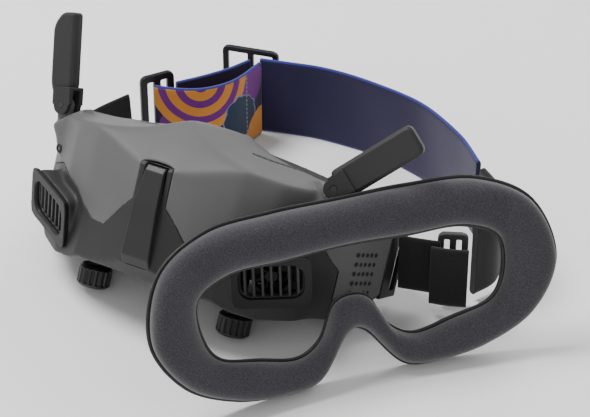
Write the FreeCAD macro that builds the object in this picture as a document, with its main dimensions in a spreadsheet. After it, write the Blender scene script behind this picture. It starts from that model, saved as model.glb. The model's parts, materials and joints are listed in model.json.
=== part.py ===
import FreeCAD, Part
import math
import os
import Sketcher

# Head-worn video goggles with folding antennas, a head strap and a detachable face pad.
# Row frame: +Z up from the floor, the goggles' front towards -Y, origin under the middle of
# the whole part's box.  The goggles stand nose-up on their two focus knobs and face frame.
# "Worn" frame: the goggles as worn, x sideways, y from front to face, z up.

Vec = FreeCAD.Vector
doc = FreeCAD.newDocument("video_goggles")
sheet = doc.addObject("Spreadsheet::Sheet", "dims")

DIMENSIONS = {
    # standing pose and the row origin
    "nose_up_angle": 26.57, "origin_shift_x": -34.5, "origin_shift_y": -42.1, "floor_level": -0.7,
    # casing
    "wall_thick": 2.0, "rear_plane": 29.0, "rear_fall_start": 12.0, "rear_fall": 7.5,
    "strip_half": 5.2, "strip_front": -39.4, "strip_top": 64.5, "strip_foot": 22.0,
    # fan pods: face centre, face size, depth
    "pod_side": 55.6, "pod_ahead": -21.8, "pod_height": 30.0,
    "pod_long": 29.0, "pod_tall": 21.0, "pod_deep": 15.0, "pod_wall": 1.8, "pod_round": 4.5,
    "vent_long": 20.9, "vent_tall": 12.1, "bezel_thick": 2.0, "slat_thick": 0.9, "slat_pitch": 2.95,
    "fan_square": 16.4, "fan_thick": 4.0, "fan_bore": 7.6, "rotor_radius": 7.0, "rotor_hub": 2.6,
    # optics
    "eye_side": 35.3, "eye_height": 47.0, "carriage_half": 20.0, "carriage_tall": 42.0,
    "carriage_front": -6.0, "carriage_back": 14.0, "cell_radius": 16.0, "running_gap": 0.05,
    "cell_wall": 1.6, "cell_front": -2.0, "cell_back": 27.0, "lens_thick": 5.0,
    "panel_square": 24.0, "panel_thick": 1.6, "rod_radius": 1.5, "rod_half": 62.0,
    "rod_offset": 18.7, "rod_depth": 7.0, "side_plate_in": 60.0, "side_plate_thick": 2.0,
    "lens_opening_radius": 17.2, "lens_travel": 8.0,
    # focus knobs
    "knob_depth": -5.3, "knob_radius": 7.25, "knob_tall": 9.6, "knob_chamfer": 1.2,
    "shaft_radius": 2.4, "shaft_top": 29.0, "grip_count": 16.0, "grip_radius": 0.7,
    # antennas
    "hinge_side": 66.5, "hinge_depth": -5.2, "hinge_height": 72.5, "hinge_yaw": 12.0,
    "collar_half": 5.2,
    "collar_thick": 8.6, "collar_tall": 7.6, "tongue_thick": 3.6, "hinge_gap": 0.3,
    "tongue_half": 3.2,
    "barrel_radius": 4.4, "horn_slope": 36.0, "horn_gap": 5.3, "fork_deep": 6.2,
    "paddle_long": 32.4, "paddle_thick": 6.0, "paddle_wide": 12.4,
    "pin_radius": 1.4, "left_lean": 12.0, "right_lean": 45.0,
    # face frame and pad
    "frame_arch": 290.0, "frame_nose_plane": 34.0, "tape_thick": 0.9, "frame_screw_side": 62.0,
    "frame_screw_height": 56.0,
    "pad_arch": 361.0, "pad_yaw": 49.9, "pad_lean": 22.4,
    "pad_x": 100.0, "pad_y": -5.1, "pad_z": -5.65,
    "foam_front": -3.6, "foam_back": 5.5, "backing_thick": 1.5,
    # head strap
    "band_tall": 40.0, "band_thick": 2.0, "webbing_tall": 25.0, "buckle_thick": 2.4,
}


def fill_sheet(values):
    for row, (alias, value) in enumerate(values.items(), 1):
        sheet.set("A%d" % row, alias)
        sheet.set("B%d" % row, str(value))
        sheet.setAlias("B%d" % row, alias)
    doc.recompute()


def dim(alias):
    return float(getattr(sheet, alias))


fill_sheet(DIMENSIONS)

WORN = FreeCAD.Placement(Vec(dim("origin_shift_x"), dim("origin_shift_y"), -dim("floor_level")),
                         FreeCAD.Rotation(Vec(1, 0, 0), -dim("nose_up_angle")))
FLOOR = FreeCAD.Placement(WORN.Base, FreeCAD.Rotation())
LOCAL = FreeCAD.Placement()
nodes = {}


def at(x, y, z, axis=Vec(0, 0, 1), angle=0.0):
    return FreeCAD.Placement(Vec(x, y, z), FreeCAD.Rotation(axis, angle))


def keep(label, obj, place):
    """Registers a sub-part under its node name and sets where it stands."""
    obj.Label = label
    obj.Placement = place
    nodes[label] = obj
    return obj


def box(name, sizes, place=LOCAL):
    """A block whose three sides are bound to sheet cells or formulas."""
    obj = doc.addObject("Part::Box", name)
    for side, formula in zip(("Length", "Width", "Height"), sizes):
        obj.setExpression(side, formula)
    obj.Placement = place
    return obj


def cylinder(name, radius, length, place=LOCAL):
    obj = doc.addObject("Part::Cylinder", name)
    obj.setExpression("Radius", radius)
    obj.setExpression("Height", length)
    obj.Placement = place
    return obj


def cut(name, base, tool):
    obj = doc.addObject("Part::Cut", name)
    obj.Base, obj.Tool = base, tool
    return obj


def fuse(name, shapes):
    obj = doc.addObject("Part::MultiFuse", name)
    obj.Shapes = shapes
    return obj


def sculpted(label, shape, place):
    """A sub-part whose shape is worked out below from sheet values."""
    obj = doc.addObject("Part::Feature", label)
    obj.Shape = shape
    return keep(label, obj, place)


def sketch_body(name, role):
    """A body with one empty sketch on its own origin plane."""
    body = doc.addObject("PartDesign::Body", name)
    sketch = body.newObject("Sketcher::SketchObject", name + "_sketch")
    plane = [item for item in body.Origin.OriginFeatures if item.Role == role][0]
    sketch.AttachmentSupport = [(plane, "")]
    sketch.MapMode = "FlatFace"
    return body, sketch


def circle(sketch, radius):
    index = sketch.addGeometry(Part.Circle(Vec(0, 0, 0), Vec(0, 0, 1), 5), False)
    sketch.addConstraint(Sketcher.Constraint("Coincident", index, 3, -1, 1))
    rule = sketch.addConstraint(Sketcher.Constraint("Radius", index, 5))
    sketch.setExpression("Constraints[%d]" % rule, radius)


def rectangle(sketch, half_wide, half_tall):
    """A rectangle centred on the sketch origin, its half sides bound to the sheet."""
    corners = [(-1, -1), (1, -1), (1, 1), (-1, 1)]
    first = sketch.GeometryCount
    for (x1, y1), (x2, y2) in zip(corners, corners[1:] + corners[:1]):
        sketch.addGeometry(Part.LineSegment(Vec(5 * x1, 5 * y1, 0), Vec(5 * x2, 5 * y2, 0)), False)
    for side in range(4):
        sketch.addConstraint(Sketcher.Constraint("Coincident", first + side, 2,
                                                 first + (side + 1) % 4, 1))
    for index, (x, y) in enumerate(corners):
        for kind, sign, formula in (("DistanceX", x, half_wide), ("DistanceY", y, half_tall)):
            rule = sketch.addConstraint(Sketcher.Constraint(kind, -1, 1, first + index, 1, 5 * sign))
            sketch.setExpression("Constraints[%d]" % rule,
                                 formula if sign > 0 else "-(%s)" % formula)


def pad(body, sketch, length):
    feature = body.newObject("PartDesign::Pad", body.Name + "_pad")
    feature.Profile = sketch
    feature.setExpression("Length", length)
    return feature


# ---- outlines ---------------------------------------------------------------------------
# Half outlines of the casing on the x > 0 side; the other half mirrors them.

PLAN = [(7.5, -36), (20, -32.5), (35, -28), (50, -20), (62, -9), (70, 0), (77, 12), (82.4, 29)]
FRONT = [(0, 84), (10, 79.5), (19, 76), (31, 73.5), (50, 71), (68, 70), (74, 62),
         (82.4, 54), (82.4, 28), (74, 17), (40, 12.5)]
SIDE = [(-36, 22), (-36, 64), (-27, 73), (-14, 84), (15, 79.5), (29, 77), (29, 17),
        (10, 12.5), (-15, 13.5), (-30, 16)]
PARTING = [(7.7, 65.2), (7.7, 49), (13, 43.5), (21, 33.5), (28, 33.5), (34, 37.5),
           (41, 43), (57, 49.5), (67, 46), (72, 38), (72, 0)]
TOP_LINE = [(0, 84), (10, 79.5), (19, 76), (31, 73.5), (50, 71), (68, 70), (76, 66), (95, 66),
            (95, 110), (0, 110)]
SEAT = [(0, 73), (30, 70), (54, 66.5), (71, 61), (79, 46), (74, 30), (57, 20.5), (40, 17.6),
        (27, 18.2), (17, 22), (7, 33), (0, 36)]
PAD_OUTER = [(0, 83.6), (29.6, 83.9), (58.7, 81.9), (80.2, 69.6), (87.9, 43.3), (75.5, 21.7),
             (54.5, 10.8), (35, 8), (19.5, 9.7), (4.6, 26.9), (0, 29)]
PAD_INNER = [(0, 63.6), (27.2, 62.7), (51.7, 62.3), (65.1, 55), (64.5, 38.2), (59, 29.9),
             (41.9, 25.1), (24.9, 21.9), (15.5, 27), (7, 41.4), (0, 43.4)]


def mirrored(half):
    """The whole outline from its x >= 0 half."""
    other = [(-x, y) for x, y in reversed(half) if x > 0]
    return list(half) + other


def inset(points, distance):
    """The outline moved inwards by the wall, each side along its own normal."""
    area = sum(a[0] * b[1] - b[0] * a[1] for a, b in zip(points, points[1:] + points[:1]))
    turn = 1 if area > 0 else -1
    moved = []
    for before, here, after in zip(points[-1:] + points[:-1], points, points[1:] + points[:1]):
        in_x, in_y = here[0] - before[0], here[1] - before[1]
        out_x, out_y = after[0] - here[0], after[1] - here[1]
        in_len, out_len = math.hypot(in_x, in_y), math.hypot(out_x, out_y)
        n1 = (-in_y / in_len * turn, in_x / in_len * turn)
        n2 = (-out_y / out_len * turn, out_x / out_len * turn)
        share = distance / (1 + n1[0] * n2[0] + n1[1] * n2[1])
        moved.append((here[0] + (n1[0] + n2[0]) * share, here[1] + (n1[1] + n2[1]) * share))
    return moved


def prism(points, origin, across, up, length):
    """An outline drawn in the plane of two directions and extruded square to it."""
    corners = [origin + across * u + up * v for u, v in points]
    wire = Part.makePolygon(corners + corners[:1])
    return Part.Face(wire).extrude(across.cross(up) * length)


X, Y, Z = Vec(1, 0, 0), Vec(0, 1, 0), Vec(0, 0, 1)


def plan_prism(points):
    return prism(points, Vec(0, 0, -20), X, Y, 140)


def front_prism(points):
    return prism(points, Vec(0, 70, 0), X, Z, 140)


def side_prism(points):
    return prism(points, Vec(-100, 0, 0), Y, Z, 200)


def smooth_outline(half, place_y):
    """A closed smooth curve through a mirrored half outline, in the worn x-z plane."""
    points = [Vec(x, place_y, z) for x, z in mirrored(half)]
    curve = Part.BSplineCurve()
    curve.interpolate(points, PeriodicFlag=True)
    return Part.Wire(curve.toShape())


def arched_ring(outer, inner, arch, near, far, towards_face=1):
    """A flat ring bent about a vertical axis: between two arched faces at depths near and far."""
    reach = 60.0
    ring = Part.Face([smooth_outline(outer, -reach), smooth_outline(inner, -reach)])
    ring.validate()
    block = ring.extrude(Vec(0, 2 * reach, 0))
    centre = arch if towards_face > 0 else -arch
    depths = sorted((near, far))

    def drum(depth):
        return Part.makeCylinder(arch, 200, Vec(0, depth + centre, -50))

    if towards_face > 0:
        return block.common(drum(depths[0])).cut(drum(depths[1]))
    return block.common(drum(depths[1])).cut(drum(depths[0]))


# ---- casing -----------------------------------------------------------------------------

def envelope(distance, open_rear=0.0):
    """The casing's outer form moved inwards; open_rear carries it out through the rear mouth."""
    plan, front, side = (inset(points, distance) if distance else points
                         for points in (mirrored(PLAN), mirrored(FRONT), SIDE))
    if open_rear:
        rear = max(y for x, y in plan)
        plan = [(x, y + (open_rear if y > rear - 1 else 0)) for x, y in plan]
        rear = max(y for y, z in side)
        side = [(y + (open_rear if y > rear - 1 else 0), z) for y, z in side]
    form = plan_prism(plan).common(front_prism(front)).common(side_prism(side))
    above = [(x, z - distance) for x, z in mirrored(TOP_LINE)]
    start = dim("rear_fall_start")
    outline = Part.Face(Part.makePolygon([Vec(x, start, z) for x, z in above + above[:1]]))
    fall = outline.extrude(Vec(0, 40, -dim("rear_fall") * 40 / 30))
    return form.cut(fall)


def pod_place(sign, depth=0.0, across=0.0, up=0.0):
    """A placement on a pod's face: local x along the vent, y up it, z out of it."""
    out = Vec(0.502 * sign, -0.815, -0.288)
    out.normalize()
    along = Vec(0.861, 0.44 * sign, 0.254 * sign)
    along = along - out * along.dot(out)
    along.normalize()
    upward = out.cross(along)
    turn = FreeCAD.Rotation(along, upward, out, "ZXY")
    centre = Vec(sign * dim("pod_side"), dim("pod_ahead"), dim("pod_height"))
    return FreeCAD.Placement(centre - out * depth + along * across + upward * up, turn)


def rounded_block(wide, tall, deep, corner):
    """A block behind the local z = 0 plane with rounded long edges."""
    block = Part.makeBox(wide, tall, deep, Vec(-wide / 2, -tall / 2, -deep))
    if corner <= 0:
        return block
    edges = [edge for edge in block.Edges if abs(edge.tangentAt(edge.FirstParameter).z) > 0.9]
    return block.makeFillet(corner, edges)


def placed(shape, place):
    moved = shape.copy()
    moved.Placement = place
    return moved


def horn(sign):
    """The raised shoulder that carries an antenna, with its hinge tongue."""
    slope = math.radians(dim("horn_slope"))
    foot_x = dim("hinge_side") - dim("horn_gap") * math.sin(slope)
    foot_z = dim("hinge_height") - dim("horn_gap") * math.cos(slope)

    def crown(x):
        return foot_z - (x - foot_x) * math.tan(slope)

    shoulder = [(55, 60), (60, 52), (64, 51), (67.5, 58), (70.5, crown(70.5)), (55, crown(55))]
    points = [(sign * x, z) for x, z in shoulder]
    block = prism(points, Vec(0, dim("hinge_depth") + 5.5, 0), X, Z, 10)
    if block.BoundBox.YMin > dim("hinge_depth"):
        block.translate(Vec(0, -10, 0))
    half, foot = dim("tongue_half"), 62
    tongue = Part.makeBox(2 * half, dim("tongue_thick"), dim("hinge_height") - foot,
                          Vec(sign * dim("hinge_side") - half,
                              dim("hinge_depth") - dim("tongue_thick") / 2, foot))
    knuckle = Part.makeCylinder(half, dim("tongue_thick"),
                                Vec(sign * dim("hinge_side"),
                                    dim("hinge_depth") - dim("tongue_thick") / 2,
                                    dim("hinge_height")), Y)
    bore = Part.makeCylinder(dim("pin_radius") + dim("running_gap"), 12,
                             Vec(sign * dim("hinge_side"), dim("hinge_depth") - 6,
                                 dim("hinge_height")), Y)
    for piece in (tongue, knuckle, bore):
        piece.rotate(Vec(sign * dim("hinge_side"), dim("hinge_depth"), 0), Z,
                     sign * dim("hinge_yaw"))
    above = [(60.5, crown(60.5)), (73, crown(73)), (73, 90), (60.5, 90)]
    clear = prism([(sign * x, z) for x, z in above], Vec(0, dim("hinge_depth") + 6.5, 0), X, Z, 13)
    if clear.BoundBox.YMin > dim("hinge_depth"):
        clear.translate(Vec(0, -13, 0))
    return block, clear, tongue.fuse(knuckle), bore


def top_slot(sign, grow=0.0):
    """The long narrow vent in each shoulder."""
    start, end = Vec(23.3 * sign, 0.4, 60), Vec(48.4 * sign, 17.1, 60)
    along = (end - start)
    across = Vec(-along.y, along.x, 0).normalize() * (0.85 + grow)
    tip = Vec(along).normalize() * grow
    corners = [start - across - tip, end - across + tip, end + across + tip, start + across - tip]
    return Part.Face(Part.makePolygon(corners + corners[:1])).extrude(Vec(0, 0, 30))


def screw_place(sign, depth=0.0):
    out = Vec(0.747 * sign, -0.664, 0)
    return Vec(sign * 65.6, -4.95, 53) - out * depth, out


OUTER = envelope(0)
CAVITY = envelope(dim("wall_thick"), 20)
SIGNS = (("left", -1), ("right", 1))


def make_top_shell():
    keep_low = front_prism(mirrored(PARTING))
    horns = [horn(sign) for _, sign in SIGNS]
    shell = OUTER.fuse([block for block, _, _, _ in horns])
    shell = shell.cut([clear for _, clear, _, _ in horns])
    shell = shell.fuse([tongue for _, _, tongue, _ in horns]).cut(keep_low)
    shell = shell.cut(CAVITY).cut([bore for _, _, _, bore in horns])
    for _, sign in SIGNS:
        shell = shell.cut(top_slot(sign))
        start, out = screw_place(sign, 8)
        shell = shell.cut(Part.makeCylinder(1.95, 12, start, out))
    row, pitch = 5, 4.1
    for column in range(5):
        for line in range(row):
            height = 29.0 + pitch * line
            depth = 11.0 + 2.6 * column
            centre = Vec(76.4 + (depth - 12) * 0.318, depth, height)
            out = Vec(0.953, -0.303, 0)
            shell = shell.cut(Part.makeCylinder(0.7, 1.6, centre - out * 0.6, out))
    return shell


def slot_below(sign):
    """The slot in the floor of the housing where a focus knob's shaft travels."""
    travel = dim("lens_travel")
    inner = dim("eye_side") - travel
    wide = 2 * dim("shaft_radius") + 1.2
    body = Part.makeBox(travel + 1, wide, 12, Vec(inner, dim("knob_depth") - wide / 2, 6))
    for x in (inner, inner + travel + 1):
        body = body.fuse(Part.makeCylinder(wide / 2, 12, Vec(x, dim("knob_depth"), 6)))
    if sign < 0:
        body = body.mirror(Vec(0, 0, 0), X)
    return body


def make_lower_housing(shell):
    keep_low = front_prism(mirrored(PARTING))
    lower = OUTER.common(keep_low)
    for _, sign in SIGNS:
        pod = placed(rounded_block(dim("pod_long"), dim("pod_tall"), dim("pod_deep"),
                                   dim("pod_round")), pod_place(sign, dim("bezel_thick")))
        lower = lower.fuse(pod)
    lower = lower.cut(CAVITY)
    for _, sign in SIGNS:
        front = rounded_block(dim("pod_long"), dim("pod_tall"), 12, dim("pod_round"))
        lower = lower.cut(placed(front, pod_place(sign, dim("bezel_thick") - 12)))
        hollow = placed(rounded_block(dim("pod_long") - 2 * dim("pod_wall"),
                                      dim("pod_tall") - 2 * dim("pod_wall"), 17, 2.8),
                        pod_place(sign, 0))
        lower = lower.cut(hollow).cut(slot_below(sign))
    lower = lower.cut(shell)
    lower = lower.cut(Part.makeBox(2 * dim("strip_half") + 0.02, 4, 60, Vec(-dim("strip_half") - 0.01,
                                                                          -37, dim("strip_foot"))))
    lower = lower.cut(Part.makeBox(9.4, 4.2, 12, Vec(-54.7, 14.4, 8)))
    lower = lower.cut(Part.makeCylinder(1.8, 9, Vec(50, 20, 9)))
    lower = lower.cut(Part.makeBox(12, 1.6, 12, Vec(-36, 20.2, 8)))
    lower = lower.cut(Part.makeCylinder(2.6, 12, Vec(62, 22, 8)))
    return largest(lower)


def largest(shape):
    """The main solid, without loose crumbs left by the cuts."""
    return max(shape.Solids, key=lambda solid: solid.Volume)


def make_strip():
    """The raised band down the middle of the front: three facets and a bevelled top."""
    profile = [(-36, dim("strip_foot")), (-38.6, 26), (dim("strip_front"), 48),
               (-37.2, 62.4), (-35.6, dim("strip_top")), (-34.4, dim("strip_top")),
               (-34.4, dim("strip_foot"))]
    strip = side_prism(profile)
    outline = [(5.2, 22), (5.2, 48), (4.5, dim("strip_top"))]
    return strip.common(front_prism(mirrored(outline)))


shell_shape = largest(make_top_shell())
sculpted("top_shell", shell_shape, WORN)
sculpted("lower_housing", make_lower_housing(shell_shape), WORN)
sculpted("center_strip", make_strip(), WORN)

# ---- vents and fans ---------------------------------------------------------------------

def make_bezel():
    plate = rounded_block(dim("pod_long"), dim("pod_tall"), dim("bezel_thick"), dim("pod_round"))
    return plate.cut(rounded_block(dim("vent_long"), dim("vent_tall"), 9, 4.2))


def make_grille():
    """A frame behind the bezel with seven slats across its opening."""
    thick = 2.4
    frame = rounded_block(dim("pod_long") - 2 * dim("pod_wall") - 0.02,
                          dim("pod_tall") - 2 * dim("pod_wall") - 0.02, thick, 2.8)
    frame = frame.cut(rounded_block(dim("vent_long"), dim("vent_tall"), 9, 4.2))
    slats = []
    for index in range(-3, 4):
        middle = index * dim("slat_pitch")
        slats.append(Part.makeBox(dim("slat_thick"), dim("vent_tall") + 1, thick,
                                  Vec(middle - dim("slat_thick") / 2,
                                      -dim("vent_tall") / 2 - 0.5, -thick)))
    return frame.fuse(slats)


def make_rotor():
    hub = Part.makeCylinder(dim("rotor_hub"), 2.8, Vec(0, 0, 0))
    blades = []
    for index in range(7):
        blade = Part.makeBox(dim("rotor_radius") - dim("rotor_hub") + 0.4, 0.8, 2.4,
                             Vec(dim("rotor_hub") - 0.4, -0.4, 0.2))
        blade.rotate(Vec(0, 0, 0), X, 24)
        blade.rotate(Vec(0, 0, 0), Z, index * 360.0 / 7)
        blades.append(blade)
    disc = Part.makeCylinder(dim("rotor_radius"), 2.8)
    return hub.fuse([blade.common(disc) for blade in blades]).removeSplitter()


def make_fan_housing():
    """A square frame with a bore for the rotor and a back plate on four spokes."""
    side = dim("fan_square")
    frame = Part.makeBox(side, side, dim("fan_thick"), Vec(-side / 2, -side / 2, -1))
    frame = frame.cut(Part.makeCylinder(dim("fan_bore"), 10, Vec(0, 0, -0.2)))
    for angle in range(0, 360, 90):
        window = Part.makeBox(3.2, 3.2, 3, Vec(2.4, 2.4, -2))
        window.rotate(Vec(0, 0, 0), Z, angle)
        frame = frame.cut(window)
    return frame


for side_name, sign in SIGNS:
    sculpted("vent_bezel_" + side_name, make_bezel(), WORN.multiply(pod_place(sign, 0)))
    sculpted("vent_grille_" + side_name, make_grille(),
             WORN.multiply(pod_place(sign, dim("bezel_thick"))))
    fan = pod_place(sign, 8.6)
    sculpted("fan_housing_" + side_name, make_fan_housing(), WORN.multiply(fan))
    rotor = pod_place(sign, 8.5)
    sculpted("fan_rotor_" + side_name, make_rotor(), WORN.multiply(rotor))
    mesh = envelope(0.9).cut(envelope(2.0)).common(top_slot(sign))
    sculpted("top_vent_mesh_" + side_name, largest(mesh), WORN)

# ---- fasteners, buttons and sockets -----------------------------------------------------

screws = []
for _, sign in SIGNS:
    start, out = screw_place(sign, 5.6)
    screw = Part.makeCylinder(1.93, 5.2, start, out)
    screws.append(screw.cut(Part.makeCylinder(0.9, 2, start + out * 4.2, out)))
sculpted("shell_screws", Part.makeCompound(screws), WORN)

# ---- optics -----------------------------------------------------------------------------

for side_name, sign in SIGNS:
    eye = Vec(sign * dim("eye_side"), 0, dim("eye_height"))
    half, tall = dim("carriage_half"), dim("carriage_tall")
    front, back = dim("carriage_front"), dim("carriage_back")
    depth = back - front
    block = box("carriage_block_" + side_name,
                ("2 * dims.carriage_half", "dims.carriage_back - dims.carriage_front",
                 "dims.carriage_tall"), at(eye.x - half, front, eye.z - tall / 2))
    bore = cylinder("carriage_bore_" + side_name, "dims.cell_radius + dims.running_gap",
                    "dims.carriage_back - dims.carriage_front",
                    at(eye.x, front + dim("panel_thick"), eye.z, X, -90))
    pocket = box("carriage_pocket_" + side_name,
                 ("dims.panel_square", "dims.panel_thick", "dims.panel_square"),
                 at(eye.x - dim("panel_square") / 2, front, eye.z - dim("panel_square") / 2))
    cuts = [bore, pocket]
    for level in (-1, 1):
        cuts.append(cylinder("rod_bore_%s_%d" % (side_name, level + 1),
                             "dims.rod_radius + dims.running_gap", "2 * dims.carriage_half + 2",
                             at(eye.x - half - 1, dim("rod_depth"),
                                eye.z + level * dim("rod_offset"), Y, 90)))
    seat = cylinder("shaft_seat_" + side_name, "dims.shaft_radius + dims.running_gap",
                    "dims.shaft_top - 20", at(eye.x, dim("knob_depth"), 20))
    cuts.append(seat)
    keep("lens_carriage_" + side_name,
         cut("lens_carriage_" + side_name, block, fuse("carriage_cuts_" + side_name, cuts)), WORN)

    tube, ring = sketch_body("lens_cell_" + side_name, "XY_Plane")
    circle(ring, "dims.cell_radius")
    circle(ring, "dims.cell_radius - dims.cell_wall")
    pad(tube, ring, "dims.cell_back - dims.cell_front")
    keep("lens_cell_" + side_name, tube,
         WORN.multiply(at(eye.x, dim("cell_front"), eye.z, X, -90)))

    lens_disc = Part.makeCylinder(dim("cell_radius") - dim("cell_wall"), dim("lens_thick"))
    dome = Part.makeSphere(40, Vec(0, 0, dim("lens_thick") - 40.6))
    sculpted("eyepiece_lens_" + side_name, lens_disc.common(dome),
             WORN.multiply(at(eye.x, dim("cell_back") - dim("lens_thick") - 1, eye.z, X, -90)))

    plate, square = sketch_body("display_panel_" + side_name, "XY_Plane")
    rectangle(square, "dims.panel_square / 2", "dims.panel_square / 2")
    pad(plate, square, "dims.panel_thick")
    keep("display_panel_" + side_name, plate, WORN.multiply(at(eye.x, front, eye.z, X, -90)))

    knob, disc = sketch_body("knob_blank_" + side_name, "XY_Plane")
    circle(disc, "dims.knob_radius")
    blank = pad(knob, disc, "dims.knob_tall")
    doc.recompute()
    bevel = knob.newObject("PartDesign::Chamfer", "knob_bevel_" + side_name)
    rims = ["Edge%d" % (number + 1) for number, edge in enumerate(blank.Shape.Edges)
            if edge.isClosed()]
    bevel.Base = (blank, rims)
    bevel.setExpression("Size", "dims.knob_chamfer")
    knob.Tip = bevel
    grips = []
    for index in range(int(dim("grip_count"))):
        angle = math.radians(index * 360.0 / dim("grip_count"))
        grips.append(cylinder("grip_%s_%d" % (side_name, index), "dims.grip_radius",
                              "dims.knob_tall - 3.2",
                              at(dim("knob_radius") * math.cos(angle),
                                 dim("knob_radius") * math.sin(angle), 1.6)))
    keep("focus_knob_" + side_name,
         cut("focus_knob_" + side_name, knob, fuse("grips_" + side_name, grips)),
         WORN.multiply(at(eye.x, dim("knob_depth"), -0.4)))
    shaft = cylinder("knob_shaft_" + side_name, "dims.shaft_radius",
                     "dims.shaft_top - dims.knob_tall",
                     WORN.multiply(at(eye.x, dim("knob_depth"), dim("knob_tall") - 0.4)))
    keep("knob_shaft_" + side_name, shaft, shaft.Placement)

rods = []
for level in (-1, 1):
    rods.append(Part.makeCylinder(dim("rod_radius"), 2 * dim("rod_half"),
                                  Vec(-dim("rod_half"), dim("rod_depth"),
                                      dim("eye_height") + level * dim("rod_offset")), X))
sculpted("guide_rods", Part.makeCompound(rods), WORN)

chassis_parts = [box("chassis_bar", ("2 * dims.side_plate_in + 2 * dims.side_plate_thick",
                                     "4", "2"), at(-62, 5, 22))]
for side_name, sign in SIGNS:
    x = dim("side_plate_in") if sign > 0 else -dim("side_plate_in") - dim("side_plate_thick")
    chassis_parts.append(box("chassis_plate_" + side_name, ("dims.side_plate_thick", "7", "46"),
                             at(x, 3.5, 22)))
rod_holes = [cylinder("chassis_hole_%d" % (level + 1), "dims.rod_radius", "2 * dims.rod_half",
                      at(-dim("rod_half"), dim("rod_depth"),
                         dim("eye_height") + level * dim("rod_offset"), Y, 90))
             for level in (-1, 1)]
keep("optics_chassis", cut("optics_chassis", fuse("chassis_blank", chassis_parts),
                           fuse("chassis_holes", rod_holes)), WORN)

keep("main_board", box("main_board", ("66", "1.6", "34"), at(-33, -25, 30)),
     WORN.multiply(at(-33, -25, 30)))
fins = [box("heat_sink_base", ("56", "1.6", "26"), at(-28, -23.4, 34))]
for index in range(12):
    fins.append(box("heat_sink_fin_%d" % index, ("1", "8", "26"), at(-28 + 5 * index, -22, 34)))
keep("heat_sink", fuse("heat_sink", fins), WORN)

# ---- antennas ---------------------------------------------------------------------------

def hinge_place(sign, lean):
    """The hinge frame of an antenna: local z along the paddle, turned outwards by its lean."""
    turned = at(sign * dim("hinge_side"), dim("hinge_depth"), dim("hinge_height"), Z,
                sign * dim("hinge_yaw"))
    return turned.multiply(at(0, 0, 0, Y, sign * lean))


for (side_name, sign), lean in zip(SIGNS, (dim("left_lean"), dim("right_lean"))):
    half, thick = dim("collar_half"), dim("collar_thick")
    block = box("base_block_" + side_name, ("2 * dims.collar_half", "dims.collar_thick",
                                            "dims.collar_tall"), at(-half, -thick / 2, 0))
    barrel = cylinder("base_barrel_" + side_name, "dims.barrel_radius", "dims.collar_thick",
                      at(0, -thick / 2, 0, X, -90))
    gap = dim("tongue_thick") + 2 * dim("hinge_gap")
    fork = box("base_fork_" + side_name, ("20", "dims.tongue_thick + 2 * dims.hinge_gap",
                                          "dims.fork_deep + 12"), at(-10, -gap / 2, -12))
    bore = cylinder("base_bore_" + side_name, "dims.pin_radius + dims.running_gap", "20",
                    at(0, -10, 0, X, -90))
    keep("antenna_base_" + side_name,
         cut("antenna_base_" + side_name, fuse("base_blank_" + side_name, [block, barrel]),
             fuse("base_cuts_" + side_name, [fork, bore])),
         WORN.multiply(hinge_place(sign, lean)))

    wide, long, low = dim("paddle_wide") / 2, dim("paddle_long"), dim("collar_tall")
    blade = [(-wide, low), (wide, low), (wide, low + long - 5 if sign > 0 else low + long - 1.5),
             (wide - 2 if sign > 0 else wide - 1.5, low + long), (-wide + 2, low + long),
             (-wide, low + long - 5)]
    paddle = prism(blade, Vec(0, dim("paddle_thick") / 2, 0), X, Z, dim("paddle_thick"))
    sculpted("antenna_paddle_" + side_name, paddle, WORN.multiply(hinge_place(sign, lean)))
    pin = cylinder("antenna_pin_" + side_name, "dims.pin_radius", "dims.collar_thick",
                   at(0, 0, 0))
    keep("antenna_pin_" + side_name, pin,
         WORN.multiply(hinge_place(sign, 0).multiply(at(0, -thick / 2, 0, X, -90))))

# ---- face frame -------------------------------------------------------------------------

def lens_window(sign):
    radius, travel = dim("lens_opening_radius"), dim("lens_travel")
    outer = sign * (dim("eye_side") + 0.7)
    inner = sign * (dim("eye_side") - travel + 0.7)
    window = Part.makeBox(travel, 30, 2 * radius,
                          Vec(min(inner, outer), 20, dim("eye_height") - radius))
    for x in (inner, outer):
        window = window.fuse(Part.makeCylinder(radius, 30, Vec(x, 20, dim("eye_height")), Y))
    return window


def make_face_frame():
    inner_seat = [(0, 64), (30, 64.5), (52, 61.3), (65, 56), (71.5, 45), (67, 35), (54, 28),
                  (40, 25.5), (30, 26), (22, 30), (12, 41), (0, 45)]
    mouth = envelope(dim("wall_thick") + 0.02, 20)
    plate = mouth.common(Part.makeBox(200, 2, 120, Vec(-100, 27, -10)))
    ring = arched_ring(SEAT, inner_seat, dim("frame_arch"), dim("frame_nose_plane") - 30,
                       dim("frame_nose_plane"))
    ring = ring.common(Part.makeBox(200, 60, 120, Vec(-100, dim("rear_plane") + 0.02, -10)))
    frame = plate.fuse(ring)
    for _, sign in SIGNS:
        frame = frame.cut(lens_window(sign))
        frame = frame.cut(Part.makeCylinder(1.3, 12, Vec(sign * dim("frame_screw_side"), 20,
                                                         dim("frame_screw_height")), Y))
    frame = frame.cut(Part.makeBox(9, 4, 4.2, Vec(-4.5, 25, 54)))
    return largest(frame)


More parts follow.
